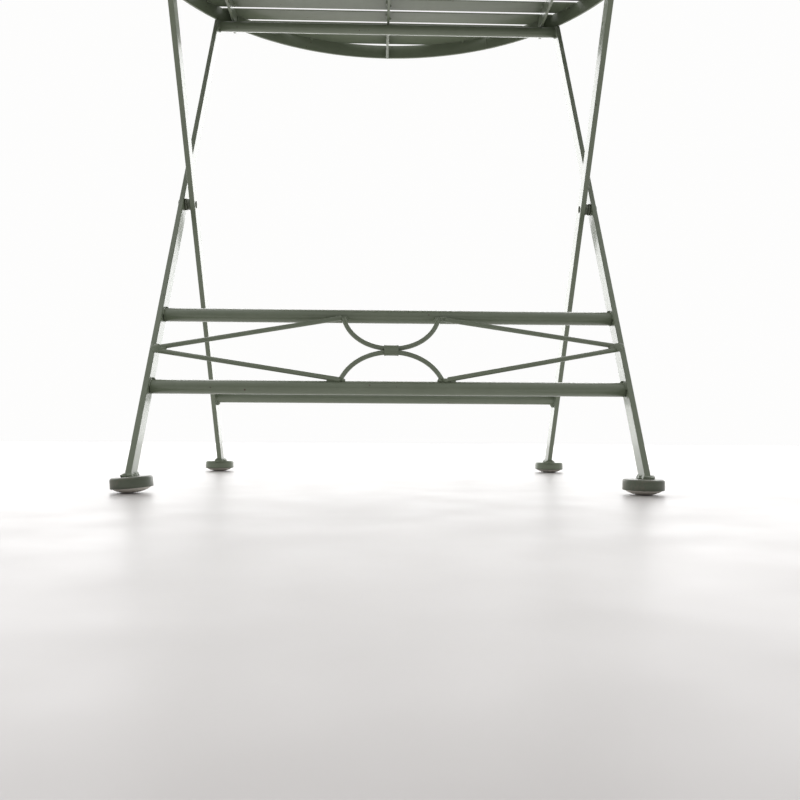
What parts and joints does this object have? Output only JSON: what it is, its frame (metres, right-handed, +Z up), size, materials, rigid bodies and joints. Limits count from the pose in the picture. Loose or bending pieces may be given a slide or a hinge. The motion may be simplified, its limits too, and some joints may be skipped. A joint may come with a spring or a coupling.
{
  "type": "folding bistro table",
  "caption": "Folding iron bistro table: crossed flat-bar leg frames with a rod ornament, and a round slatted top that hinges on one frame and rests on the other.",
  "frame": {"origin": "on the floor, midway between the four feet", "axes": "+X to the right seen from the ornamented side, +Y away from that side, +Z up"},
  "size_m": [0.7, 0.7, 0.735],
  "materials": {
    "sage_paint": "semi-gloss sage green coating over steel",
    "painted_hardware": "the same coating, worn thin on turning fasteners",
    "glide_plastic": "satin moulded plastic, warm grey"
  },
  "bodies": {
    "top": {"catch_hook_left": "sage_paint", "catch_hook_right": "sage_paint", "hinge_lug_left": "sage_paint", "hinge_lug_right": "sage_paint", "slat_01": "sage_paint", "slat_02": "sage_paint", "slat_03": "sage_paint", "slat_04": "sage_paint", "slat_05": "sage_paint", "slat_06": "sage_paint", "slat_07": "sage_paint", "slat_08": "sage_paint", "slat_09": "sage_paint", "slat_10": "sage_paint", "slat_11": "sage_paint", "slat_12": "sage_paint", "slat_13": "sage_paint", "slat_14": "sage_paint", "slat_15": "sage_paint", "slat_16": "sage_paint", "slat_17": "sage_paint", "top_bearer_left": "sage_paint", "top_bearer_middle": "sage_paint", "top_bearer_right": "sage_paint", "top_hoop": "sage_paint"},
    "inner_frame": {"hinge_rivet_left": "painted_hardware", "hinge_rivet_right": "painted_hardware", "hinge_washer_left": "painted_hardware", "hinge_washer_right": "painted_hardware", "inner_foot_cup_left": "sage_paint", "inner_foot_cup_right": "sage_paint", "inner_foot_glide_left": "glide_plastic", "inner_foot_glide_right": "glide_plastic", "inner_leg_left": "sage_paint", "inner_leg_right": "sage_paint", "inner_lower_stretcher": "sage_paint", "inner_top_crossbar": "sage_paint"},
    "outer_frame": {"lower_arc_rod": "sage_paint", "lower_brace_left": "sage_paint", "lower_brace_right": "sage_paint", "ornament_collar": "sage_paint", "outer_foot_cup_left": "sage_paint", "outer_foot_cup_right": "sage_paint", "outer_foot_glide_left": "glide_plastic", "outer_foot_glide_right": "glide_plastic", "outer_leg_left": "sage_paint", "outer_leg_right": "sage_paint", "outer_lower_stretcher": "sage_paint", "outer_top_crossbar": "sage_paint", "outer_upper_stretcher": "sage_paint", "pivot_rivet_left": "painted_hardware", "pivot_rivet_right": "painted_hardware", "pivot_spacer_left": "painted_hardware", "pivot_spacer_right": "painted_hardware", "pivot_washer_left": "painted_hardware", "pivot_washer_right": "painted_hardware", "upper_arc_rod": "sage_paint", "upper_brace_left": "sage_paint", "upper_brace_right": "sage_paint"}
  },
  "joints": [
    {"name": "leg_fold", "type": "hinge", "parent": "outer_frame", "child": "inner_frame", "pos_m": [0, 0, 0.36], "axis": [-1, 0, 0], "range_deg": [0, 59]},
    {"name": "top_tilt", "type": "hinge", "parent": "inner_frame", "child": "top", "pos_m": [0, -0.21882, 0.7025], "axis": [1, 0, 0], "range_deg": [0, 29.5]}
  ],
  "couplings": [
    {"joint": "top_tilt", "follows": "leg_fold", "ratio": 0.5}
  ]
}
